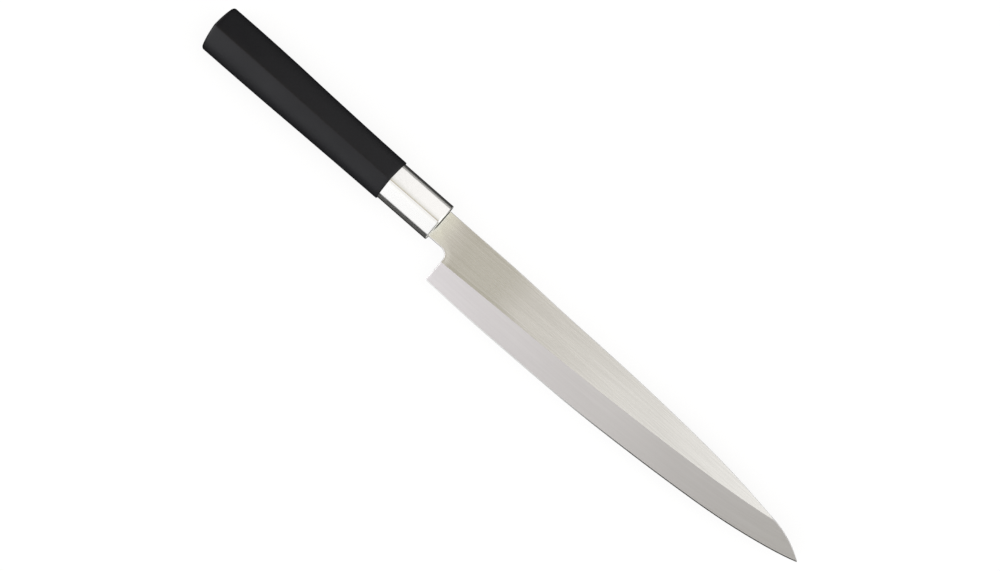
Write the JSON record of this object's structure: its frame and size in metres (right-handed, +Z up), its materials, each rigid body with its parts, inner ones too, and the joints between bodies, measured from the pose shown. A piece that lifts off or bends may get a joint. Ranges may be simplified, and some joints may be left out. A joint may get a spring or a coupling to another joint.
{
  "type": "yanagiba knife",
  "caption": "Right-handed single-bevel slicing knife with a long slim blade, polished steel ferrule and black D-shaped moulded grip.",
  "frame": {"origin": "centre of the knife's box in plan, at the level of the lowest point of the grip's left flank, where it lies on a table", "axes": "+X along the grip's axis from the butt to the point, +Y from the edge to the spine, +Z up out of the bevelled side; the blade lies parallel to the XY plane"},
  "size_m": [0.3546, 0.0362, 0.0177],
  "materials": {
    "blade_steel": "ground, fine grain along the blade",
    "ferrule_steel": "polished",
    "grip": "satin, finely grained",
    "resin": "cured resin",
    "seal": "smooth sealant"
  },
  "bodies": {
    "root": {"blade": "blade_steel", "ferrule": "ferrule_steel", "handle": "grip", "tang_resin": "resin", "slot_seal": "seal"}
  },
  "joints": []
}
